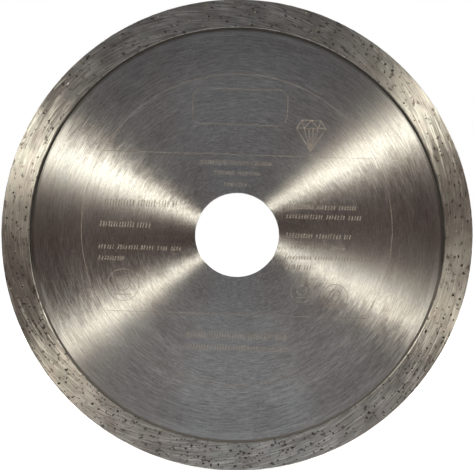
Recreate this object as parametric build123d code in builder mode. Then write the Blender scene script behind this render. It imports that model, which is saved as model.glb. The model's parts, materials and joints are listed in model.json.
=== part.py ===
"""Continuous-rim diamond blade, 125 x 22.23 mm, for an angle grinder.

The blade stands upright: its axis is +Y, its front side faces -Y and +Z is up. The origin is the
centre of the bore, halfway through the core. A steel core carries a keyed tongue on its edge, a
diamond-free bond ring wraps the tongue, and the sintered rim wraps the bond ring. Diamond crystals
sit in pockets in the rim's two sides and in its cutting edge. Millimetres.
"""

from build123d import *

import os
from math import cos, pi, radians, sin
from random import Random

os.makedirs("parts", exist_ok=True)

# Driving dimensions
blade_diameter = 125.0
bore_diameter = 22.23
core_thickness = 1.6
rim_thickness = 2.2
rim_height = 7.5
groove_width = 0.6
bond_thickness = 1.1

# Core
bore_chamfer = 0.1
relief_width = 1.7
relief_depth = 0.04
tongue_thickness = 0.7
tongue_length = 2.9

# Bond ring
bond_wall = 0.4
peg_count = 48
peg_diameter = 1.2
tooth_count = 72
tooth_length = 0.5
tooth_width = 1.4

# Rim
inner_chamfer = 0.2
outer_chamfer = 0.15
crystal_stand = 0.04

# Crystals
crystal_half = 0.22
crystal_corner_reach = 0.27
side_rows = 3
side_crystals_per_row = 22
edge_rows = 2
edge_crystals_per_row = 24
edge_row_spacing = 1.0
side_margin = 0.9
jitter_share = 0.3
full_turn = 360.0

# Worked out
bore_radius = bore_diameter / 2
rim_outer_radius = blade_diameter / 2 - crystal_stand
rim_inner_radius = blade_diameter / 2 - rim_height
core_edge_radius = rim_inner_radius - groove_width
relief_radius = core_edge_radius - relief_width
tongue_radius = core_edge_radius + tongue_length
bond_radius = tongue_radius + bond_wall
peg_circle_radius = core_edge_radius + tongue_length / 2


def ring_section(inner_radius, outer_radius, thickness):
    """A rectangle in the XY plane that turns about Y into a flat ring."""
    with Locations(((inner_radius + outer_radius) / 2, 0)):
        Rectangle(outer_radius - inner_radius, thickness)


def crystal_seat(point, normal, turn):
    """The place of one crystal: its crown looks along normal and it is turned about it."""
    return Plane(origin=point, z_dir=normal).location * Location((0, 0, 0), (0, 0, turn))


def side_seats(facing, seed):
    """Crystal places on one side of the rim, in loose rows. facing is -1 in front and 1 behind."""
    draw = Random(seed)
    first = rim_inner_radius + side_margin
    last = rim_outer_radius - side_margin
    row_step = (last - first) / (side_rows - 1)
    turn_step = full_turn / side_crystals_per_row
    seats = []
    for row in range(side_rows):
        for place in range(side_crystals_per_row):
            radius = first + row_step * (row + draw.uniform(-jitter_share, jitter_share))
            radius = min(max(radius, first), last)
            share = place + row / side_rows + draw.uniform(-jitter_share, jitter_share)
            angle = radians(turn_step * share)
            point = (radius * cos(angle), facing * rim_thickness / 2, radius * sin(angle))
            seats.append(crystal_seat(point, (0, facing, 0), draw.uniform(0, full_turn)))
    return seats


def edge_seats(seed):
    """Crystal places on the cutting edge, in two loose rows round it."""
    draw = Random(seed)
    seats = []
    for row in range(edge_rows):
        for place in range(edge_crystals_per_row):
            share = place + row / edge_rows + draw.uniform(-jitter_share, jitter_share)
            angle = 2 * pi * share / edge_crystals_per_row
            across = edge_row_spacing * (row - (edge_rows - 1) / 2)
            outward = (cos(angle), 0, sin(angle))
            point = (rim_outer_radius * outward[0], across, rim_outer_radius * outward[2])
            seats.append(crystal_seat(point, outward, draw.uniform(0, full_turn)))
    return seats


# Steel core: a flat blank with a deburred bore, a ground relief band near its edge and a thin
# tongue with a ring of key holes.
with BuildPart() as steel_core:
    with BuildSketch(Plane.XY):
        ring_section(bore_radius, relief_radius, core_thickness)
        ring_section(relief_radius, core_edge_radius, core_thickness - 2 * relief_depth)
        ring_section(core_edge_radius, tongue_radius, tongue_thickness)
    revolve(axis=Axis.Y)
    bore_edges = steel_core.edges().filter_by(GeomType.CIRCLE).sort_by(SortBy.RADIUS)[0:2]
    chamfer(bore_edges, length=bore_chamfer)
    with BuildSketch(Plane.XZ):
        with PolarLocations(peg_circle_radius, peg_count):
            Circle(peg_diameter / 2)
    extrude(amount=core_thickness, both=True, mode=Mode.SUBTRACT)

steel_core.part.label = "steel_core"
export_step(steel_core.part, "parts/steel_core.step")


# Bond ring: a channel round the tongue, with pegs through the key holes and teeth into the rim.
with BuildPart() as bond_ring:
    with BuildSketch(Plane.XY):
        ring_section(core_edge_radius, bond_radius, bond_thickness)
        with Locations(((core_edge_radius + tongue_radius) / 2, 0)):
            Rectangle(tongue_length, tongue_thickness, mode=Mode.SUBTRACT)
    revolve(axis=Axis.Y)
    with BuildSketch(Plane.XZ):
        with PolarLocations(peg_circle_radius, peg_count):
            Circle(peg_diameter / 2)
    extrude(amount=tongue_thickness / 2, both=True)
    with BuildSketch(Plane.XZ):
        with PolarLocations(bond_radius, tooth_count):
            Rectangle(2 * tooth_length, tooth_width)
        Circle(bond_radius - bond_wall / 2, mode=Mode.SUBTRACT)
    extrude(amount=bond_thickness / 2, both=True)

bond_ring.part.label = "bond_ring"
export_step(bond_ring.part, "parts/bond_ring.step")


# One crystal: a cube cut back by the eight octahedron planes, with one cube face as its crown.
with BuildPart(Plane.XY.offset(crystal_stand - crystal_half)) as crystal:
    Box(2 * crystal_half, 2 * crystal_half, 2 * crystal_half)
    centre = Vector(0, 0, crystal_stand - crystal_half)
    for x_sign in (-1, 1):
        for y_sign in (-1, 1):
            for z_sign in (-1, 1):
                outward = Vector(x_sign, y_sign, z_sign).normalized()
                cut = Plane(origin=centre + outward * crystal_corner_reach, z_dir=outward)
                split(bisect_by=cut, keep=Keep.BOTTOM)

grit_seats = {
    "diamond_grit_front": side_seats(-1, seed=11),
    "diamond_grit_back": side_seats(1, seed=23),
    "diamond_grit_edge": edge_seats(seed=37),
}

for node_name, seats in grit_seats.items():
    with BuildPart() as diamond_grit:
        with Locations(*seats):
            add(crystal.part)
    diamond_grit.part.label = node_name
    export_step(diamond_grit.part, f"parts/{node_name}.step")


# Diamond rim: the sintered ring, chamfered, hollowed for the bond ring and pocketed for the stones.
with BuildPart() as diamond_rim:
    with BuildSketch(Plane.XY):
        ring_section(rim_inner_radius, rim_outer_radius, rim_thickness)
    revolve(axis=Axis.Y)
    corners = diamond_rim.edges().filter_by(GeomType.CIRCLE).sort_by(SortBy.RADIUS)
    chamfer(corners[0:2], length=inner_chamfer)
    corners = diamond_rim.edges().filter_by(GeomType.CIRCLE).sort_by(SortBy.RADIUS)
    chamfer(corners[-2:], length=outer_chamfer)
    with BuildSketch(Plane.XY):
        ring_section(core_edge_radius, bond_radius, bond_thickness)
    revolve(axis=Axis.Y, mode=Mode.SUBTRACT)
    with BuildSketch(Plane.XZ):
        with PolarLocations(bond_radius, tooth_count):
            Rectangle(2 * tooth_length, tooth_width)
    extrude(amount=bond_thickness / 2, both=True, mode=Mode.SUBTRACT)
    for seats in grit_seats.values():
        with Locations(*seats):
            add(crystal.part, mode=Mode.SUBTRACT)

diamond_rim.part.label = "diamond_rim"
export_step(diamond_rim.part, "parts/diamond_rim.step")
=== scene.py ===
import json
import math
from random import Random

import bmesh
import bpy
from mathutils import Matrix, Vector, noise
from mathutils.geometry import delaunay_2d_cdt


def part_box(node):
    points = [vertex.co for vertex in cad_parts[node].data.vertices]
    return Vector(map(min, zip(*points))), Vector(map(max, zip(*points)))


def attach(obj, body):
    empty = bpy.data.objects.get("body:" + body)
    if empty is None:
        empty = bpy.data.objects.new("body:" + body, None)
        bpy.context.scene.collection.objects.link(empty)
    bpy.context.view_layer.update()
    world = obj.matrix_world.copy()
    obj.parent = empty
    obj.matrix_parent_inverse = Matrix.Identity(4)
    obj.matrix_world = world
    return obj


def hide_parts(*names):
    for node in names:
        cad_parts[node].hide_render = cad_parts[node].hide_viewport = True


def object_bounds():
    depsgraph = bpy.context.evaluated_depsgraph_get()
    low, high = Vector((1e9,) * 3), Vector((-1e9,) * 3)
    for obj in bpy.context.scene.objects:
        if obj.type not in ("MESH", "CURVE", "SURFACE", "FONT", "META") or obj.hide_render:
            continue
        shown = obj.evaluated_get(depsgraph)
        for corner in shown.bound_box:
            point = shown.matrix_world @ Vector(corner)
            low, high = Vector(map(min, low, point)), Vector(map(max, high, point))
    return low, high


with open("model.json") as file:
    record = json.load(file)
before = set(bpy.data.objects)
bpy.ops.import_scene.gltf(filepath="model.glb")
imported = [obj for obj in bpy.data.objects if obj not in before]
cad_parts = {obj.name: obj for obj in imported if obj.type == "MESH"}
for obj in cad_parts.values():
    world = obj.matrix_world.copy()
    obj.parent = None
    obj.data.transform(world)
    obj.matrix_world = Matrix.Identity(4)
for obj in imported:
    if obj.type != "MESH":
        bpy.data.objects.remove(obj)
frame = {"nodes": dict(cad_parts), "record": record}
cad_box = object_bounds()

# A 125 mm continuous-rim diamond blade. The blade's axis is Y and its front faces -Y. Metres.

MM = 0.001
FULL_TURN = 2 * math.pi

# Sizes from the frame. RIM_OUTER stays a little inside the CAD rim, so that no facet stands proud of it.
mounts = {mount["name"]: mount for mount in frame["record"]["mounts"]}
BORE_RADIUS = mounts["arbor_bore"]["dims"]["r_mm"] * MM
CORE_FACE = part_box("steel_core")[1].y
TONGUE_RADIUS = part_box("steel_core")[1].x
BOND_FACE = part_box("bond_ring")[1].y
RIM_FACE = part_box("diamond_rim")[1].y
RIM_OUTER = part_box("diamond_rim")[1].x - 0.03 * MM
FLOOR_HEIGHT = cad_box[0].z

# The other sizes of the blade. The steel core ends in a ground relief band and then a thinner tongue,
# which the bond ring wraps. An open groove as wide as CORE_EDGE to RIM_INNER shows the bond.
RIM_INNER = 55.0 * MM
CORE_EDGE = TONGUE_RADIUS - 2.9 * MM
RELIEF_RADIUS = CORE_EDGE - 1.7 * MM
RELIEF_DEPTH = 0.04 * MM
TONGUE_FACE = 0.35 * MM
BOND_RADIUS = TONGUE_RADIUS + 0.4 * MM
BORE_BEVEL = 0.1 * MM
EDGE_BEVEL = 0.05 * MM
INNER_BEVEL = 0.2 * MM
OUTER_BEVEL = 0.15 * MM

# Facets round a full turn
SEGMENTS = 720

# The radius at which the rim's scratches have their slant
SLANT_REACH = 58.0 * MM

# The rim's pits are marked with this attribute, which its material darkens as painted shade in the hollows.
PIT_ATTRIBUTE = "pit"


# ---------------------------------------------------------------- mesh helpers

def finished(name, bm, material, sharp_angle=28.0):
    """A mesh object from bm, smooth where it bends little, riding on the blade's one body."""
    bmesh.ops.recalc_face_normals(bm, faces=bm.faces)
    mesh = bpy.data.meshes.new(name)
    bm.to_mesh(mesh)
    bm.free()
    mesh.shade_smooth()
    mesh.set_sharp_from_angle(angle=math.radians(sharp_angle))
    mesh.materials.append(material)
    piece = bpy.data.objects.new(name, mesh)
    bpy.context.scene.collection.objects.link(piece)
    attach(piece, "root")
    return piece


def divided(profile, longest):
    """The closed profile with its long sides split into steps of at most longest."""
    points = []
    for index, start in enumerate(profile):
        end = profile[(index + 1) % len(profile)]
        steps = max(1, math.ceil(math.dist(start, end) / longest))
        for step in range(steps):
            share = step / steps
            points.append((start[0] + (end[0] - start[0]) * share,
                           start[1] + (end[1] - start[1]) * share))
    return points


def turn_profile(bm, profile, segments, centre=(0.0, 0.0)):
    """Adds the surface of a closed (radius, y) profile turned about an axis along Y at centre (x, z)."""
    columns = []
    for index in range(segments):
        angle = FULL_TURN * index / segments
        columns.append([bm.verts.new((centre[0] + radius * math.cos(angle), across,
                                      centre[1] + radius * math.sin(angle)))
                        for radius, across in profile])
    for index, here in enumerate(columns):
        there = columns[(index + 1) % segments]
        for row in range(len(profile)):
            following = (row + 1) % len(profile)
            bm.faces.new((here[row], there[row], there[following], here[following]))


def turned(profile):
    """A new bmesh of a closed (radius, y) profile turned about the blade's axis."""
    bm = bmesh.new()
    turn_profile(bm, profile, SEGMENTS)
    return bm


# ---------------------------------------------------------------- node helpers

class Tree:
    """Short calls for building one material's nodes."""

    def __init__(self, name):
        self.material = bpy.data.materials.new(name)
        self.material.use_nodes = True
        self.nodes = self.material.node_tree.nodes
        self.links = self.material.node_tree.links
        self.shader = self.nodes["Principled BSDF"]

    def node(self, kind, **settings):
        made = self.nodes.new(kind)
        for name, value in settings.items():
            setattr(made, name, value)
        return made

    def feed(self, socket, value):
        """Links a socket to value, or sets it when value is a plain number, colour or vector."""
        if isinstance(value, bpy.types.NodeSocket):
            self.links.new(value, socket)
        else:
            socket.default_value = value

    def math(self, operation, first, second=0.0):
        made = self.node("ShaderNodeMath", operation=operation)
        self.feed(made.inputs[0], first)
        self.feed(made.inputs[1], second)
        return made.outputs[0]

    def vector(self, operation, first, second=(0.0, 0.0, 0.0)):
        made = self.node("ShaderNodeVectorMath", operation=operation)
        self.feed(made.inputs[0], first)
        self.feed(made.inputs[1], second)
        return made.outputs["Value" if operation in ("LENGTH", "DOT_PRODUCT") else "Vector"]

    def scaled(self, vector, factor):
        made = self.node("ShaderNodeVectorMath", operation="SCALE")
        self.feed(made.inputs[0], vector)
        self.feed(made.inputs["Scale"], factor)
        return made.outputs["Vector"]

    def joined(self, x, y, z):
        made = self.node("ShaderNodeCombineXYZ")
        for socket, value in zip(made.inputs, (x, y, z)):
            self.feed(socket, value)
        return made.outputs[0]

    def parts(self, vector):
        made = self.node("ShaderNodeSeparateXYZ")
        self.feed(made.inputs[0], vector)
        return made.outputs

    def noise(self, vector, scale=1.0, detail=2.0, roughness=0.5):
        made = self.node("ShaderNodeTexNoise")
        self.feed(made.inputs["Vector"], vector)
        made.inputs["Scale"].default_value = scale
        made.inputs["Detail"].default_value = detail
        made.inputs["Roughness"].default_value = roughness
        return made.outputs["Fac"]

    def spread(self, value, low, high, to_low=0.0, to_high=1.0):
        """value from low..high mapped smoothly to to_low..to_high, held at the ends."""
        made = self.node("ShaderNodeMapRange", clamp=True, interpolation_type="SMOOTHSTEP")
        for socket, number in zip(made.inputs, (value, low, high, to_low, to_high)):
            self.feed(socket, number)
        return made.outputs[0]

    def mixed(self, factor, first, second, blend="MIX"):
        made = self.node("ShaderNodeMix", data_type="RGBA", blend_type=blend)
        self.feed(made.inputs[0], factor)
        self.feed(made.inputs[6], first)
        self.feed(made.inputs[7], second)
        return made.outputs[2]

    def bump(self, height, strength, distance, normal=None):
        made = self.node("ShaderNodeBump")
        made.inputs["Strength"].default_value = strength
        made.inputs["Distance"].default_value = distance
        self.feed(made.inputs["Height"], height)
        if normal is not None:
            self.feed(made.inputs["Normal"], normal)
        return made.outputs[0]

    def place(self):
        return self.node("ShaderNodeTexCoord").outputs["Object"]


def grey(value, warmth=0.0):
    """An RGBA grey; warmth above 0 leans to red and below 0 to blue."""
    return (value * (1 + warmth), value * (1 - 0.3 * warmth), value * (1 - warmth), 1.0)


def rgba(red, green, blue):
    return (red, green, blue, 1.0)


def polar(tree):
    """Radius, outward direction and the direction along the turning marks, about the blade's axis."""
    x, _, z = tree.parts(tree.place())
    flat = tree.joined(x, 0.0, z)
    radius = tree.vector("LENGTH", flat)
    outward = tree.vector("NORMALIZE", flat)
    along = tree.vector("CROSS_PRODUCT", outward, (0.0, 1.0, 0.0))
    return radius, outward, along


def around(tree, radius, outward, per_metre, per_turn):
    """Noise coordinates that run quickly across a mark and slowly along it, with no seam."""
    x, _, z = tree.parts(outward)
    return tree.joined(tree.math("MULTIPLY", radius, per_metre),
                       tree.math("MULTIPLY", x, per_turn), tree.math("MULTIPLY", z, per_turn))


def depth_below(tree, face):
    """Distance in from the front face at -face, which carries the turning marks on over a round wall."""
    return tree.math("ADD", tree.parts(tree.place())[1], face)


def upper_painted_shade(tree, outward):
    """0 on the lower part of the blade and 1 on the rest: the mask of the painted shade on the upper part,
    at the joint and at the edges beside it, so the joint is paler below.
    """
    return tree.spread(tree.parts(outward)[2], -0.28, -0.08)


def swayed(tree, value, width):
    """Noise about 0.5 turned into a sway about 0, width from end to end."""
    return tree.math("MULTIPLY", tree.math("SUBTRACT", value, 0.5), width)


def combed(tree, aim, turn):
    """The tangent across the turning marks. Its small part along the axis counts only on a round wall."""
    return tree.vector("NORMALIZE", tree.vector("ADD", tree.vector("ADD", aim, turn), (0.0, 0.2, 0.0)))


# ---------------------------------------------------------------- materials

def brushing_aim(tree, radius, outward):
    """The way across the brushing. The marks centre a little off the bore: (x, z) is shifted by its
    middle value, plus or minus its spread on the blade's right and left."""
    middle, spread = (-0.5 * MM, 0.82 * MM), (-0.43 * MM, 1.51 * MM)
    side, _, _ = tree.parts(outward)
    shift = tree.joined(tree.math("ADD", tree.math("MULTIPLY", side, spread[0]), middle[0]), 0.0,
                        tree.math("ADD", tree.math("MULTIPLY", side, spread[1]), middle[1]))
    return tree.vector("SUBTRACT", outward, tree.scaled(shift, tree.math("DIVIDE", 1.0, radius)))


def painted_core_shade(tree, radius, outward):
    """A factor below 1 that paints shade on the core: darker near the bore, near the rim and in a line at
    its edge on the upper part.
    """
    inner = tree.spread(radius, 15 * MM, 26 * MM, to_low=0.88, to_high=1.0)
    outer = tree.spread(radius, 41 * MM, 50 * MM, to_low=1.0, to_high=0.82)
    edge = tree.math("MULTIPLY", tree.spread(radius, CORE_EDGE - 0.65 * MM, CORE_EDGE - 0.35 * MM),
                     upper_painted_shade(tree, outward))
    line = tree.math("SUBTRACT", 1.0, tree.math("MULTIPLY", edge, 0.35))
    return tree.math("MULTIPLY", tree.math("MULTIPLY", inner, outer), line)


def brushed_steel():
    """The core: fine brushing that turns about the bore, with paler and darker hairs."""
    tree = Tree("brushed_core_steel")
    radius, outward, along = polar(tree)
    across = tree.math("ADD", radius, depth_below(tree, CORE_FACE))
    hair = tree.noise(around(tree, across, outward, 4400.0, 12.0), detail=3.0, roughness=0.6)
    streak = tree.noise(around(tree, across, outward, 2300.0, 14.0), detail=3.0, roughness=0.6)
    grain = tree.noise(around(tree, across, outward, 3000.0, 42.0), detail=2.0, roughness=0.6)
    broad = tree.noise(around(tree, across, outward, 420.0, 4.0), detail=2.0)
    cloud = tree.noise(tree.place(), scale=60.0, detail=5.0, roughness=0.62)
    speck = tree.noise(tree.place(), scale=1500.0, detail=2.0)

    sway = tree.math("ADD", swayed(tree, hair, 0.19), swayed(tree, streak, 0.085))
    aim = brushing_aim(tree, radius, outward)
    tree.feed(tree.shader.inputs["Tangent"], combed(tree, aim, tree.scaled(along, sway)))

    tone = tree.mixed(tree.spread(cloud, 0.3, 0.7), grey(0.38, 0.09), grey(0.46, 0.02))
    tone = tree.mixed(tree.spread(streak, 0.32, 0.6, to_low=0.5, to_high=0.0), tone, grey(0.27, 0.08))
    tone = tree.mixed(tree.spread(grain, 0.32, 0.55, to_low=0.4, to_high=0.0), tone, grey(0.27, 0.06))
    tone = tree.mixed(tree.spread(hair, 0.4, 0.7, to_high=0.85), tone, grey(0.66, 0.05))
    tone = tree.mixed(tree.spread(speck, 0.5, 0.75, to_high=0.5), tone, grey(0.66, 0.04))
    band_start = tree.spread(radius, RELIEF_RADIUS - 0.1 * MM, RELIEF_RADIUS + 0.15 * MM)
    band_end = tree.spread(radius, CORE_EDGE - 0.25 * MM, CORE_EDGE - 0.05 * MM, to_low=1.0, to_high=0.0)
    band = tree.math("MULTIPLY", band_start, band_end)
    tone = tree.mixed(tree.math("MULTIPLY", band, 0.22), tone, grey(0.62, 0.05))
    # Painted shade in the base colour: darker near the bore, near the rim and at the core's edge on the
    # upper part.
    tree.feed(tree.shader.inputs["Base Color"], tree.scaled(tone, painted_core_shade(tree, radius, outward)))
    tree.feed(tree.shader.inputs["Roughness"], tree.spread(broad, 0.25, 0.75, to_low=0.295, to_high=0.355))
    tree.feed(tree.shader.inputs["Normal"], tree.bump(hair, strength=0.12, distance=0.01 * MM))
    tree.shader.inputs["Metallic"].default_value = 1.0
    tree.shader.inputs["Anisotropic"].default_value = 1.0
    return tree.material


def sintered_matrix():
    """The rim: ground metal with slanting scratches and mottling, with dark pits and a darker inner lip on
    the upper part, both painted shade.
    """
    tree = Tree("sintered_matrix")
    radius, outward, along = polar(tree)
    x, _, z = tree.parts(outward)
    # The scratches cross the turn by a slant that changes slowly round the rim.
    slant = tree.math("SUBTRACT", tree.math("MULTIPLY", z, 0.05), tree.math("MULTIPLY", x, 0.14))
    across = tree.math("SUBTRACT", radius, tree.math("MULTIPLY", slant, SLANT_REACH))
    across = tree.math("ADD", across, depth_below(tree, RIM_FACE))
    scratch = tree.noise(around(tree, across, outward, 3000.0, 7.0), detail=3.0, roughness=0.65)
    broad = tree.noise(around(tree, across, outward, 800.0, 9.0), detail=3.0, roughness=0.6)
    stain = tree.noise(around(tree, across, outward, 1100.0, 34.0), detail=3.0, roughness=0.6)
    cloud = tree.noise(tree.place(), scale=170.0, detail=5.0, roughness=0.62)
    tint = tree.noise(tree.place(), scale=280.0, detail=3.0)
    grain = tree.noise(tree.place(), scale=3800.0, detail=2.0)

    lean = tree.math("SUBTRACT", tree.math("MULTIPLY", z, 0.03), 0.12)
    sway = tree.math("ADD", swayed(tree, scratch, 0.6), lean)
    tree.feed(tree.shader.inputs["Tangent"], combed(tree, outward, tree.scaled(along, sway)))

    brown, sand, olive = rgba(0.417, 0.357, 0.327), rgba(0.53, 0.477, 0.438), rgba(0.365, 0.355, 0.317)
    tone = tree.mixed(tree.spread(cloud, 0.3, 0.7), brown, sand)
    tone = tree.mixed(tree.spread(tint, 0.35, 0.65, to_high=0.6), tone, olive)
    pale_scratch, dark_scratch = rgba(0.80, 0.76, 0.70), rgba(0.17, 0.145, 0.13)
    tone = tree.mixed(tree.spread(scratch, 0.5, 0.68, to_high=0.85), tone, pale_scratch)
    tone = tree.mixed(tree.spread(scratch, 0.32, 0.46, to_low=0.65, to_high=0.0), tone, dark_scratch)
    dark_streak, dark_stain = rgba(0.22, 0.19, 0.17), rgba(0.10, 0.08, 0.07)
    tone = tree.mixed(tree.spread(broad, 0.3, 0.48, to_low=0.5, to_high=0.0), tone, dark_streak)
    tone = tree.mixed(tree.spread(stain, 0.57, 0.67, to_high=0.85), tone, dark_stain)
    # Painted shade in the pits: their marked inner rings are darkened.
    pit = tree.node("ShaderNodeAttribute", attribute_name=PIT_ATTRIBUTE).outputs["Fac"]
    tone = tree.mixed(pit, tone, rgba(0.105, 0.09, 0.08))
    # Painted shade: the rim's inner lip is darker on the upper part of the blade.
    lip = tree.spread(radius, RIM_INNER + 0.15 * MM, RIM_INNER + 0.35 * MM, to_low=1.0, to_high=0.0)
    painted_lip_shade = tree.math("MULTIPLY", lip, upper_painted_shade(tree, outward))
    tone = tree.mixed(tree.math("MULTIPLY", painted_lip_shade, 0.55), tone, rgba(0.11, 0.095, 0.085))
    tree.feed(tree.shader.inputs["Base Color"], tone)
    tree.feed(tree.shader.inputs["Roughness"], tree.spread(cloud, 0.25, 0.75, to_low=0.33, to_high=0.41))
    rough = tree.bump(grain, strength=0.2, distance=0.02 * MM)
    scratched = tree.bump(scratch, strength=0.3, distance=0.03 * MM, normal=rough)
    tree.feed(tree.shader.inputs["Normal"], scratched)
    tree.shader.inputs["Metallic"].default_value = 1.0
    tree.shader.inputs["Anisotropic"].default_value = 0.91
    return tree.material


def bond_metal():
    """The recessed joint: rough and unpolished; dark, with painted shade, but for the lower part of the
    blade, where painted light makes it paler.
    """
    tree = Tree("bond_metal")
    _, outward, _ = polar(tree)
    cloud = tree.noise(tree.place(), scale=900.0, detail=4.0, roughness=0.65)
    dark_joint_and_painted_shade = tree.mixed(cloud, rgba(0.03, 0.025, 0.022), rgba(0.075, 0.065, 0.058))
    joint_with_painted_light = tree.mixed(cloud, rgba(0.13, 0.115, 0.105), rgba(0.2, 0.18, 0.165))
    # Painted light and shade: the joint is paler on the lower part of the blade and darker on the rest.
    tree.feed(tree.shader.inputs["Base Color"], tree.mixed(upper_painted_shade(tree, outward), joint_with_painted_light, dark_joint_and_painted_shade))
    tree.feed(tree.shader.inputs["Roughness"], tree.spread(cloud, 0.3, 0.7, to_low=0.5, to_high=0.75))
    tree.feed(tree.shader.inputs["Normal"], tree.bump(cloud, strength=0.6, distance=0.05 * MM))
    tree.shader.inputs["Metallic"].default_value = 0.8
    return tree.material


def diamond():
    """Ground-off industrial diamond: smoky, greenish and glassy."""
    tree = Tree("industrial_diamond")
    cloud = tree.noise(tree.place(), scale=2500.0, detail=2.0)
    smoky, greenish = rgba(0.07, 0.065, 0.04), rgba(0.2, 0.185, 0.12)
    tree.feed(tree.shader.inputs["Base Color"], tree.mixed(cloud, smoky, greenish))
    tree.feed(tree.shader.inputs["Roughness"], tree.spread(cloud, 0.3, 0.7, to_low=0.12, to_high=0.3))
    tree.shader.inputs["IOR"].default_value = 2.4
    return tree.material


def laser_mark():
    """The burnt, matte tan of a mark made by a laser on steel."""
    tree = Tree("laser_mark")
    _, outward, _ = polar(tree)
    fleck = tree.noise(tree.place(), scale=2600.0, detail=3.0, roughness=0.6)
    burnt, tan = rgba(0.21, 0.172, 0.15), rgba(0.43, 0.37, 0.325)
    tree.feed(tree.shader.inputs["Base Color"], tree.mixed(tree.spread(fleck, 0.35, 0.65), burnt, tan))
    tree.feed(tree.shader.inputs["Roughness"], tree.spread(fleck, 0.3, 0.7, to_low=0.5, to_high=0.66))
    tree.feed(tree.shader.inputs["Tangent"], outward)
    tree.shader.inputs["Metallic"].default_value = 0.8
    tree.shader.inputs["Anisotropic"].default_value = 0.65
    return tree.material


# ---------------------------------------------------------------- pieces

def make_core(material):
    """The steel disc: bevelled bore, flat faces, a ground relief band and the tongue on its edge."""
    relief = CORE_FACE - RELIEF_DEPTH
    side = [
        (BORE_RADIUS, CORE_FACE - BORE_BEVEL),
        (BORE_RADIUS + BORE_BEVEL, CORE_FACE),
        (RELIEF_RADIUS, CORE_FACE),
        (RELIEF_RADIUS + RELIEF_DEPTH, relief),
        (CORE_EDGE - EDGE_BEVEL, relief),
        (CORE_EDGE, relief - EDGE_BEVEL),
        (CORE_EDGE, TONGUE_FACE),
        (TONGUE_RADIUS, TONGUE_FACE),
    ]
    profile = side + [(radius, -across) for radius, across in reversed(side)]
    core = finished("core_plate", turned(divided(profile, 4 * MM)), material, sharp_angle=12.0)
    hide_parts("steel_core")


def make_bond(material):
    """The bond ring: a channel that wraps the tongue and fills the bottom of the groove."""
    profile = [
        (CORE_EDGE, BOND_FACE), (BOND_RADIUS, BOND_FACE), (BOND_RADIUS, -BOND_FACE),
        (CORE_EDGE, -BOND_FACE), (CORE_EDGE, -TONGUE_FACE), (TONGUE_RADIUS, -TONGUE_FACE),
        (TONGUE_RADIUS, TONGUE_FACE), (CORE_EDGE, TONGUE_FACE),
    ]
    bond = finished("bond_seam", turned(divided(profile, 1 * MM)), material)
    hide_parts("bond_ring")


# The rim's skin is meshed flat and then rolled up. On the flat skin u runs round the blade and s along
# the rim's profile, both in mm.
PITS_PER_SIDE = 300
PITS_ON_EDGE = 120
TRIES_PER_PIT = 30
# Radii, in mm: the smallest, and how much more the largest has
SMALLEST_PIT = 0.145
PIT_SPREAD = 0.24
# In pit radii: the depths, how far a pit is bent out of round and stretched, the space between two pits'
# centres against the sum of their radii, and a little more than the furthest that a pit's points reach
PIT_DEPTHS = (0.5, 0.9)
PIT_BEND = 0.26
PIT_STRETCHES = (0.8, 1.25)
PIT_SPACING = 1.5
PIT_REACH = 2.35
# Rings of points round a pit: the reach in pit radii, the depth in pit depths, and the number of points.
PIT_RINGS = ((0.0, 1.0, 1), (0.5, 0.9, 6), (0.85, 0.4, 9), (1.0, 0.0, 10), (1.35, 0.0, 10))
# The rings within this reach carry the pit's painted shade.
PIT_SHADE_REACH = 0.9
# In mm: the pits' distance from the bends of the profile and from the seam, and the cells they are kept in
BEND_GAP = 0.05
SEAM_GAP = 0.9
PIT_CELL = 2
# The plain grid between the pits: its step, its unevenness and its distance from the seam in mm, and its
# distance from a pit in pit radii
GRID_STEP = 0.8
ROUND_JITTER = 0.12
SIDE_JITTER = 0.1
GRID_MARGIN = 0.4
GRID_CLEARANCE = 2.0
# Points this close are one: on the flat skin in mm, and on the rolled skin in metres
FLAT_TOLERANCE = 1e-5
WELD_DISTANCE = 0.0005 * MM
# The worn outer edge: how far in the wear reaches, and its ripples' pace round the blade and depth in mm
WEAR_REACH = 1.0 * MM
WEAR_RIPPLES = ((14.0, 0.05), (45.0, 0.045), (110.0, 0.03))


def rim_corners():
    """The rim's closed profile as (radius, y), from the front face's inner corner outwards."""
    return [
        (RIM_INNER + INNER_BEVEL, -RIM_FACE),
        (RIM_OUTER - OUTER_BEVEL, -RIM_FACE),
        (RIM_OUTER, -RIM_FACE + OUTER_BEVEL),
        (RIM_OUTER, RIM_FACE - OUTER_BEVEL),
        (RIM_OUTER - OUTER_BEVEL, RIM_FACE),
        (RIM_INNER + INNER_BEVEL, RIM_FACE),
        (RIM_INNER, RIM_FACE - INNER_BEVEL),
        (RIM_INNER, BOND_FACE),
        (BOND_RADIUS, BOND_FACE),
        (BOND_RADIUS, -BOND_FACE),
        (RIM_INNER, -BOND_FACE),
        (RIM_INNER, -RIM_FACE + INNER_BEVEL),
    ]


def edge_wear(angle, radius):
    """How far the outer edge is worn back, fading out towards the middle of the rim."""
    near_edge = max(0.0, (radius - (RIM_OUTER - WEAR_REACH)) / WEAR_REACH)
    ripple = 0.0
    for per_turn, depth in WEAR_RIPPLES:
        spot = Vector((math.cos(angle) * per_turn, math.sin(angle) * per_turn, per_turn))
        ripple += depth * MM * abs(noise.noise(spot))
    return -ripple * near_edge * near_edge


def pit_chance(u, s, width):
    """How likely a pit is at a place on the flat skin. They come in clumps, with fewer at the top,
    at the lower right and straight out to each side."""
    angle = FULL_TURN * u / width
    lower_right, level = math.radians(318.0), math.radians(5.0)
    clump = noise.noise(Vector((7.0 * math.cos(angle), 7.0 * math.sin(angle), 0.25 * s)))
    bare = 0.85 * max(0.0, math.sin(angle)) ** 0.7
    bare += 0.6 * max(0.0, math.cos(angle - lower_right)) ** 4
    bare += 0.7 * abs(math.cos(angle - level)) ** 12
    return (0.5 + 1.3 * clump) * (1.0 - bare)


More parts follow.
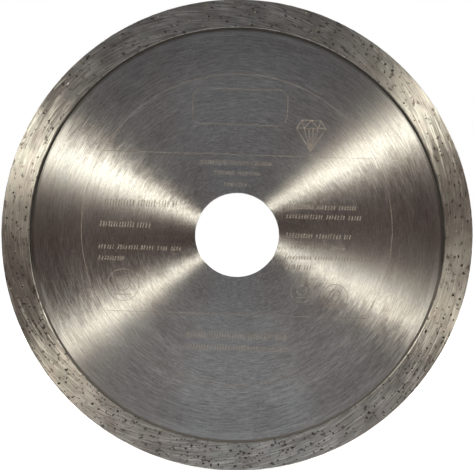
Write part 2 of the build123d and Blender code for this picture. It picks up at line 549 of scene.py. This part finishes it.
class PitMap:
    """The pits (u, s, radius, depth) on the flat skin, in square cells so that neighbours are found."""

    def __init__(self):
        self.pits = []
        self.cells = {}

    def cell(self, u, s):
        return int(u // PIT_CELL), int(s // PIT_CELL)

    def add(self, pit):
        self.pits.append(pit)
        self.cells.setdefault(self.cell(pit[0], pit[1]), []).append(pit)

    def near(self, u, s):
        """The pits in the cell of a place and in the cells round it."""
        column, row = self.cell(u, s)
        return [pit for right in (-1, 0, 1) for up in (-1, 0, 1)
                for pit in self.cells.get((column + right, row + up), [])]


def scattered_pits(width, spans, seed):
    """A PitMap with count pits between s = low and s = high for each of spans, kept apart."""
    draw = Random(seed)
    pits = PitMap()
    for low, high, count in spans:
        made = tries = 0
        while made < count and tries < count * TRIES_PER_PIT:
            tries += 1
            size = SMALLEST_PIT + PIT_SPREAD * draw.random() ** 2
            spot = (draw.uniform(SEAM_GAP + size, width - SEAM_GAP - size),
                    draw.uniform(low + PIT_REACH * size + BEND_GAP, high - PIT_REACH * size - BEND_GAP))
            depth = draw.uniform(*PIT_DEPTHS) * size
            likely = draw.random() < pit_chance(*spot, width)
            if likely and all(math.dist(spot, pit[:2]) > PIT_SPACING * (size + pit[2])
                              for pit in pits.near(*spot)):
                pits.add((*spot, size, depth))
                made += 1
    return pits


class Skin:
    """The rim's surface, unrolled flat, as points and as the lines where the profile bends."""

    def __init__(self, corners):
        self.corners = corners
        count = len(corners)
        self.lengths = [math.dist(corners[k], corners[(k + 1) % count]) / MM for k in range(count)]
        self.starts = [sum(self.lengths[:k]) for k in range(count + 1)]
        self.width = FULL_TURN * (RIM_INNER + RIM_OUTER) / 2 / MM
        self.spots, self.lifts, self.pitted, self.lines = [], [], [], []

    def add(self, u, s, lift=0.0, pitted=0.0):
        """Adds a point raised by lift metres, and gives its index."""
        self.spots.append(Vector((u, s)))
        self.lifts.append(lift)
        self.pitted.append(pitted)
        return len(self.spots) - 1

    def add_bends(self):
        """A straight row of points along each bend of the profile."""
        for start in self.starts:
            row = [self.add(self.width * column / SEGMENTS, start) for column in range(SEGMENTS + 1)]
            self.lines += list(zip(row, row[1:]))

    def add_pits(self, pits, draw):
        """The rings of each pit, bent out of round and stretched; the inner ones are marked for painted
        shade.
        """
        for u, s, size, depth in pits.pits:
            turn, lobes = draw.uniform(0, FULL_TURN), draw.choice((2, 3))
            stretch = draw.uniform(*PIT_STRETCHES)
            for reach, sink, count in PIT_RINGS:
                for step in range(count):
                    angle = FULL_TURN * step / count
                    out = size * reach * (1 + PIT_BEND * math.sin(lobes * angle + turn))
                    self.add(u + out * math.cos(angle) / stretch, s + out * math.sin(angle) * stretch,
                             -depth * sink * MM, 1.0 if reach < PIT_SHADE_REACH else 0.0)

    def add_grid(self, pits, draw):
        """Uneven rows of points between the bends, clear of the pits."""
        columns = int(self.width / GRID_STEP)
        for start, length in zip(self.starts, self.lengths):
            rows = int(length / GRID_STEP)
            for row in range(1, rows):
                s = start + length * row / rows
                self.add(0.0, s)
                self.add(self.width, s)
                for column in range(1, columns):
                    u = self.width * (column + 0.5 * (row % 2)) / columns
                    u += draw.uniform(-ROUND_JITTER, ROUND_JITTER)
                    clear = all(math.dist((u, s), pit[:2]) > GRID_CLEARANCE * pit[2]
                                for pit in pits.near(u, s))
                    if clear and GRID_MARGIN < u < self.width - GRID_MARGIN:
                        self.add(u, s + draw.uniform(-SIDE_JITTER, SIDE_JITTER))

    def place(self, u, s, lift):
        """The point in space of a point on the flat skin."""
        k = max(index for index in range(len(self.corners)) if self.starts[index] <= s + 1e-6 or index == 0)
        start, end = self.corners[k], self.corners[(k + 1) % len(self.corners)]
        length = self.lengths[k]
        share = min(max((s - self.starts[k]) / length, 0.0), 1.0)
        radius = start[0] + (end[0] - start[0]) * share
        across = start[1] + (end[1] - start[1]) * share
        outward = ((end[1] - start[1]) / length / MM, -(end[0] - start[0]) / length / MM)
        angle = FULL_TURN * u / self.width
        radius += outward[0] * lift + edge_wear(angle, radius)
        across += outward[1] * lift
        return (radius * math.cos(angle), across, radius * math.sin(angle))

    def rolled_up(self):
        """A bmesh of the skin, triangulated flat, rolled up and closed at its seam."""
        flat, _, faces, origin, _, _ = delaunay_2d_cdt(self.spots, self.lines, [], 0, FLAT_TOLERANCE)
        bm = bmesh.new()
        pit_layer = bm.verts.layers.float.new(PIT_ATTRIBUTE)
        verts = []
        for spot, sources in zip(flat, origin):
            lift = self.lifts[sources[0]] if sources else 0.0
            vert = bm.verts.new(self.place(spot.x, spot.y, lift))
            vert[pit_layer] = self.pitted[sources[0]] if sources else 0.0
            verts.append(vert)
        for face in faces:
            bm.faces.new([verts[index] for index in face])
        bmesh.ops.remove_doubles(bm, verts=bm.verts, dist=WELD_DISTANCE)
        return bm


def make_rim(material):
    """The cutting rim. Its skin is meshed finely round each pit and rolled up."""
    skin = Skin(rim_corners())
    draw = Random(5)
    front, edge, back = skin.starts[0:2], skin.starts[2:4], skin.starts[4:6]
    spans = [(*front, PITS_PER_SIDE), (*edge, PITS_ON_EDGE), (*back, PITS_PER_SIDE)]
    pits = scattered_pits(skin.width, spans, seed=41)
    skin.add_bends()
    skin.add_pits(pits, draw)
    skin.add_grid(pits, draw)
    rim = finished("cutting_rim", skin.rolled_up(), material, sharp_angle=24.0)
    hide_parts("diamond_rim")


# ---------------------------------------------------------------- laser marks on the front face

# Every mark is a thin plate or hoop, sunk a little into the core so that it has a closed shape. Places on
# the face are (x, z) in mm from the blade's centre, and all the marks lean the same way.
MARK_PROUD = 0.01 * MM
MARK_SUNK = 0.006 * MM
# Plates stand prouder one by one, by this step, and start again after a row of them.
MARK_STEP = 0.0005 * MM
STEPS_IN_A_ROW = 16
FACES_OF_A_PLATE = 6
MARK_LEAN = math.radians(-1.8)
RING_CENTRE = (-0.06, 1.5)
RING_RADIUS = 41.2
RING_WIDTH = 0.12
# The two lines that cross the ring: their heights, and how far short of the ring they end
CHORDS = (21.3, -21.05)
CHORD_GAP = 0.1
CHORD_WIDTH = 0.13
GEM_CENTRE = (19.6, 26.25)
GEM_STROKE = 0.24
# The centre and radius of each badge, and the widths of its circle, its inner circle and its bar
BADGES = (((-30.2, -13.15), 4.2), ((17.1, -14.9), 2.9), ((26.0, -16.4), 3.3))
BADGE_STROKES = (0.16, 0.18, 0.2)
FRAME_CENTRE = (0.85, 34.0)
FRAME_STROKE = 0.16
# Each line of hatching: its two ends, the height of its middle and the length of its strokes, in mm.
HATCHED_LINES = (
    (-34.9, -16.1, 8.4, 2.1), (-36.1, -23.1, 2.8, 1.8), (-36.5, -14.7, -3.35, 1.35),
    (-36.5, -29.5, -6.15, 1.35), (13.3, 31.9, 7.25, 1.4), (13.3, 33.4, 4.65, 1.4),
    (13.2, 30.0, -0.4, 1.5), (14.6, 29.1, -3.35, 1.1), (12.8, 36.3, -6.3, 1.1),
    (12.9, 19.8, -8.55, 1.6), (-9.6, 9.5, 19.05, 1.4), (-6.1, 6.7, 16.35, 1.3),
    (-3.3, 3.0, 13.35, 1.3), (-13.3, 13.3, -26.75, 2.0), (-13.3, 13.3, -30.0, 1.6),
)
# How a line is hatched: the strokes in a group and the gap after it; a stroke's rise and drop from the
# middle, in half lengths; and its slant, width and pitch
GROUP_SIZES = (4, 13)
GROUP_GAP = 0.6
STROKE_RISES = (1.0, 0.8, 0.8)
STROKE_DROP = 0.8
STROKE_SLANT = 0.12
STROKE_WIDTHS = (0.24, 0.36)
STROKE_PITCHES = (0.62, 0.85)


def leaning(x, z, centre=(0.0, 0.0)):
    """The point (x, z) beside centre, turned by the lean all the marks share. Millimetres."""
    cosine, sine = math.cos(MARK_LEAN), math.sin(MARK_LEAN)
    return (centre[0] + x * cosine - z * sine, centre[1] + x * sine + z * cosine)


def slab(bm, outline):
    """A thin closed plate on the front face with this convex outline of (x, z) points in mm. Each in a
    row stands a hair prouder than the last, so plates that cross don't share a surface."""
    step = len(bm.faces) // FACES_OF_A_PLATE % STEPS_IN_A_ROW
    proud = MARK_PROUD + step * MARK_STEP
    front = [bm.verts.new((x * MM, -CORE_FACE - proud, z * MM)) for x, z in outline]
    back = [bm.verts.new((x * MM, -CORE_FACE + MARK_SUNK, z * MM)) for x, z in outline]
    bm.faces.new(front)
    bm.faces.new(list(reversed(back)))
    for index, corner in enumerate(front):
        following = (index + 1) % len(front)
        bm.faces.new((corner, back[index], back[following], front[following]))


def stroke(bm, start, end, width):
    """A straight mark between two points."""
    length = math.dist(start, end)
    sideways = (-(end[1] - start[1]) / length * width / 2, (end[0] - start[0]) / length * width / 2)
    slab(bm, [(start[0] + sideways[0], start[1] + sideways[1]),
              (start[0] - sideways[0], start[1] - sideways[1]),
              (end[0] - sideways[0], end[1] - sideways[1]),
              (end[0] + sideways[0], end[1] + sideways[1])])


def hoop(bm, centre, radius, width, segments):
    """A circular mark, its thin section turned about the centre."""
    inner, outer = (radius - width / 2) * MM, (radius + width / 2) * MM
    front, back = -CORE_FACE - MARK_PROUD, -CORE_FACE + MARK_SUNK
    section = ((inner, back), (inner, front), (outer, front), (outer, back))
    turn_profile(bm, section, segments, (centre[0] * MM, centre[1] * MM))


def make_ring_mark(material):
    """The large thin ring and the two lines that cross it."""
    bm = bmesh.new()
    hoop(bm, RING_CENTRE, RING_RADIUS, RING_WIDTH, segments=360)
    for height in CHORDS:
        reach = math.sqrt(RING_RADIUS ** 2 - (height - RING_CENTRE[1]) ** 2) - CHORD_GAP
        stroke(bm, leaning(-reach, 0.0, (0.0, height)), leaning(reach, 0.0, (0.0, height)), CHORD_WIDTH)
    finished("mark_ring", bm, material)


def make_gem_mark(material):
    """A plain cut gem: table, crown, girdle and pavilion lines."""
    table, girdle, facet, middle = 2.45, 3.9, 1.9, 0.6
    top, waist, tip = 4.1, 2.0, -4.1
    lines = [((-table, top), (table, top)), ((-girdle, waist), (girdle, waist))]
    for side in (-1, 1):
        lines += [((side * table, top), (side * girdle, waist)), ((side * girdle, waist), (0, tip)),
                  ((side * table, top), (side * facet, waist)), ((0, top), (side * facet, waist)),
                  ((side * facet, waist), (0, tip)), ((side * middle, waist), (0, tip))]
    bm = bmesh.new()
    for start, end in lines:
        stroke(bm, leaning(*start, GEM_CENTRE), leaning(*end, GEM_CENTRE), GEM_STROKE)
    finished("mark_gem", bm, material)


def make_badge_marks(material):
    """Three circles, each with a plain smaller circle and bar inside."""
    outer_width, inner_width, bar_width = BADGE_STROKES
    bm = bmesh.new()
    for centre, radius in BADGES:
        hoop(bm, centre, radius, outer_width, segments=96)
        hoop(bm, leaning(0, 0.1 * radius, centre), 0.45 * radius, inner_width, segments=48)
        half_bar, bar_height = 0.55 * radius, -0.6 * radius
        stroke(bm, leaning(-half_bar, bar_height, centre), leaning(half_bar, bar_height, centre), bar_width)
    finished("mark_badges", bm, material)


def make_frame_mark(material):
    """An empty frame with cut corners, above the upper line."""
    wide, high, cut = 12.6, 4.7, 1.6
    corners = [(-wide, high - cut), (-wide + cut, high), (wide - cut, high), (wide, high - cut),
               (wide, -high + cut), (wide - cut, -high), (-wide + cut, -high), (-wide, -high + cut)]
    bm = bmesh.new()
    for index, start in enumerate(corners):
        end = corners[(index + 1) % len(corners)]
        stroke(bm, leaning(*start, FRAME_CENTRE), leaning(*end, FRAME_CENTRE), FRAME_STROKE)
    finished("mark_frame", bm, material)


def make_hatching(material):
    """Lines of short upright strokes in uneven groups."""
    draw = Random(9)
    bm = bmesh.new()
    for left, right, height, tall in HATCHED_LINES:
        centre = ((left + right) / 2, height)
        along, end = (left - right) / 2, (right - left) / 2
        while along < end:
            for _ in range(draw.randint(*GROUP_SIZES)):
                if along > end:
                    break
                rise = tall / 2 * draw.choice(STROKE_RISES)
                stroke(bm, leaning(along - STROKE_SLANT, -tall / 2 * STROKE_DROP, centre),
                       leaning(along + STROKE_SLANT, rise, centre), draw.uniform(*STROKE_WIDTHS))
                along += draw.uniform(*STROKE_PITCHES)
            along += GROUP_GAP
    finished("mark_hatching", bm, material)


# ---------------------------------------------------------------- studio

GROUND_GLOW = (0.16, 0.17, 0.185)
ROOM_GLOW = (0.125, 0.097, 0.088)
CEILING_GLOW = (0.158, 0.173, 0.188)
# Where each glow starts and ends, from 0 straight down to 1 straight up
GLOW_BANDS = ((0.38, GROUND_GLOW), (0.46, ROOM_GLOW), (0.54, ROOM_GLOW), (0.62, CEILING_GLOW))

KEY_COLOUR = (0.94, 1.0, 0.9)
LOW_KEY_COLOUR = (1.0, 0.96, 0.8)
WARM_COLOUR = (1.0, 0.69, 0.42)
FILL_COLOUR = (0.98, 0.98, 0.98)
COOL_COLOUR = (0.6, 0.88, 1.0)

# Panels stand in three ways: far or near in front of a face, or level with the blade's edge.
FAR = {"tilt": 48.0, "distance": 0.6, "tall": 0.4}
NEAR = {"tilt": 62.0, "distance": 0.24, "tall": 0.14}
LEVEL = {"tilt": 90.0, "distance": 0.6, "tall": 0.1}
# The panels of one face: how each stands, its azimuth, width, power and colour. The narrow keys make the
# bright fans of the brushing, the warm ones their brown fringes, and the fills the lower part's grey.
FACE_PANELS = {
    "key_right": (FAR, 29.9, 0.063, 1.13, KEY_COLOUR),
    "key_left": (FAR, 154.7, 0.076, 1.28, KEY_COLOUR),
    "warm_right": (FAR, 29.0, 0.13, 0.22, WARM_COLOUR),
    "warm_left": (FAR, 155.0, 0.14, 0.22, WARM_COLOUR),
    "low_key_left": (FAR, 212.6, 0.026, 0.43, LOW_KEY_COLOUR),
    "low_key_right": (FAR, 333.0, 0.02, 0.35, LOW_KEY_COLOUR),
    "low_fill": (NEAR, 270.0, 0.55, 0.345, FILL_COLOUR),
    "low_fill_left": (NEAR, 238.0, 0.12, 0.022, FILL_COLOUR),
    "low_fill_right": (NEAR, 304.0, 0.12, 0.022, FILL_COLOUR),
    "cool_fill": (NEAR, 272.0, 0.16, 0.05, COOL_COLOUR),
}
EDGE_AZIMUTHS = (0.0, 90.0, 180.0, 270.0)
EDGE_WIDTH = 0.8
EDGE_POWER = 0.4


def area_light(name, azimuth, wide, power, colour, tilt, distance, tall, front=True):
    """A soft panel facing the blade's centre. azimuth turns about the blade's axis from +X, tilt leans
    away from the axis; wide runs round the axis and tall towards it. Degrees, metres and watts."""
    turn, lean = math.radians(azimuth), math.radians(tilt)
    facing = -1.0 if front else 1.0
    outward = Vector((math.sin(lean) * math.cos(turn), facing * math.cos(lean),
                      math.sin(lean) * math.sin(turn)))
    sideways = Vector((-math.sin(turn), 0.0, math.cos(turn)))
    axes = Matrix((sideways, outward.cross(sideways), outward)).transposed()
    lamp = bpy.data.lights.new(name, "AREA")
    lamp.shape = "RECTANGLE"
    lamp.size = wide
    lamp.size_y = tall
    lamp.energy = power
    lamp.color = colour
    panel = bpy.data.objects.new(name, lamp)
    panel.location = outward * distance
    panel.rotation_mode = "QUATERNION"
    panel.rotation_quaternion = axes.to_quaternion()
    panel.visible_camera = False
    bpy.context.scene.collection.objects.link(panel)


def make_lights():
    """The same panels in front and behind, and four round the blade for its cutting edge."""
    for side, front in (("front", True), ("back", False)):
        for name, (stand, azimuth, wide, power, colour) in FACE_PANELS.items():
            area_light(f"{name}_{side}", azimuth, wide, power, colour, front=front, **stand)
    for azimuth in EDGE_AZIMUTHS:
        area_light(f"edge_light_{azimuth:.0f}", azimuth, EDGE_WIDTH, EDGE_POWER, FILL_COLOUR, **LEVEL)


def make_floor():
    """A wide pale floor at the blade's lowest point. It glows with painted light that brightens away from
    the blade into the backdrop.
    """
    floor_radius, dim_radius, bright_radius = 30.0, 0.03, 0.3
    bm = bmesh.new()
    bmesh.ops.create_circle(bm, cap_ends=True, radius=floor_radius, segments=96)
    mesh = bpy.data.meshes.new("floor")
    bm.to_mesh(mesh)
    bm.free()
    floor = bpy.data.objects.new("floor", mesh)
    floor.location.z = FLOOR_HEIGHT
    bpy.context.scene.collection.objects.link(floor)
    tree = Tree("pale_floor")
    distance = tree.vector("LENGTH", tree.place())
    mottle = tree.noise(tree.place(), scale=60.0, detail=3.0)
    tree.feed(tree.shader.inputs["Base Color"], tree.mixed(mottle, grey(0.86, 0.004), grey(0.9, 0.004)))
    tree.shader.inputs["Roughness"].default_value = 0.9
    tree.shader.inputs["Specular IOR Level"].default_value = 0.0
    tree.shader.inputs["Emission Color"].default_value = rgba(1.0, 1.0, 1.0)
    # Painted light: the floor glows, half as strongly near the blade as far from it.
    tree.feed(tree.shader.inputs["Emission Strength"],
              tree.spread(distance, dim_radius, bright_radius, to_low=0.5, to_high=1.0))
    mesh.materials.append(tree.material)
    floor.visible_glossy = False
    floor.visible_shadow = False


def make_world():
    """White behind the blade. The metal mirrors a dim room, warm between a cool ground and ceiling."""
    world = bpy.data.worlds.new("studio")
    bpy.context.scene.world = world
    world.use_nodes = True
    nodes, links = world.node_tree.nodes, world.node_tree.links
    direction = nodes.new("ShaderNodeTexCoord").outputs["Generated"]
    split = nodes.new("ShaderNodeSeparateXYZ")
    links.new(direction, split.inputs[0])
    height = nodes.new("ShaderNodeMapRange")
    height.inputs["From Min"].default_value = -1.0
    links.new(split.outputs["Z"], height.inputs[0])
    ramp = nodes.new("ShaderNodeValToRGB")
    ramp.color_ramp.interpolation = "EASE"
    links.new(height.outputs[0], ramp.inputs[0])
    stops = ramp.color_ramp.elements
    while len(stops) < len(GLOW_BANDS):
        stops.new(0.5)
    for stop, (position, colour) in zip(stops, GLOW_BANDS):
        stop.position = position
        stop.color = rgba(*colour)
    room = nodes["Background"]
    links.new(ramp.outputs[0], room.inputs["Color"])
    backdrop = nodes.new("ShaderNodeBackground")
    backdrop.inputs["Color"].default_value = rgba(1.0, 1.0, 1.0)
    path = nodes.new("ShaderNodeLightPath")
    mix = nodes.new("ShaderNodeMixShader")
    links.new(path.outputs["Is Camera Ray"], mix.inputs[0])
    links.new(room.outputs[0], mix.inputs[1])
    links.new(backdrop.outputs[0], mix.inputs[2])
    links.new(mix.outputs[0], nodes["World Output"].inputs["Surface"])


def make_camera():
    """Square on to the front, far enough back for the frame's width to be a little over the blade's."""
    lens, sensor, frame_width = 100.0, 36.0, 125.5 * MM
    data = bpy.data.cameras.new("camera")
    data.lens = lens
    data.sensor_width = sensor
    camera = bpy.data.objects.new("camera", data)
    camera.location = (0.0, -frame_width * lens / sensor - RIM_FACE, 0.0)
    camera.rotation_euler = (math.pi / 2, 0.0, 0.0)
    bpy.context.scene.collection.objects.link(camera)
    bpy.context.scene.camera = camera


def set_stones(material):
    """The CAD's own crystals get their look."""
    for name, node in frame["nodes"].items():
        if name.startswith("diamond_grit"):
            for held in node.material_slots:
                held.material = material


# ---------------------------------------------------------------- the scene

make_camera()
make_world()
make_floor()
make_lights()

make_core(brushed_steel())
make_bond(bond_metal())
make_rim(sintered_matrix())
burnt = laser_mark()
for make_mark in (make_ring_mark, make_gem_mark, make_badge_marks, make_frame_mark, make_hatching):
    make_mark(burnt)
set_stones(diamond())

bpy.context.scene.view_settings.view_transform = "Standard"
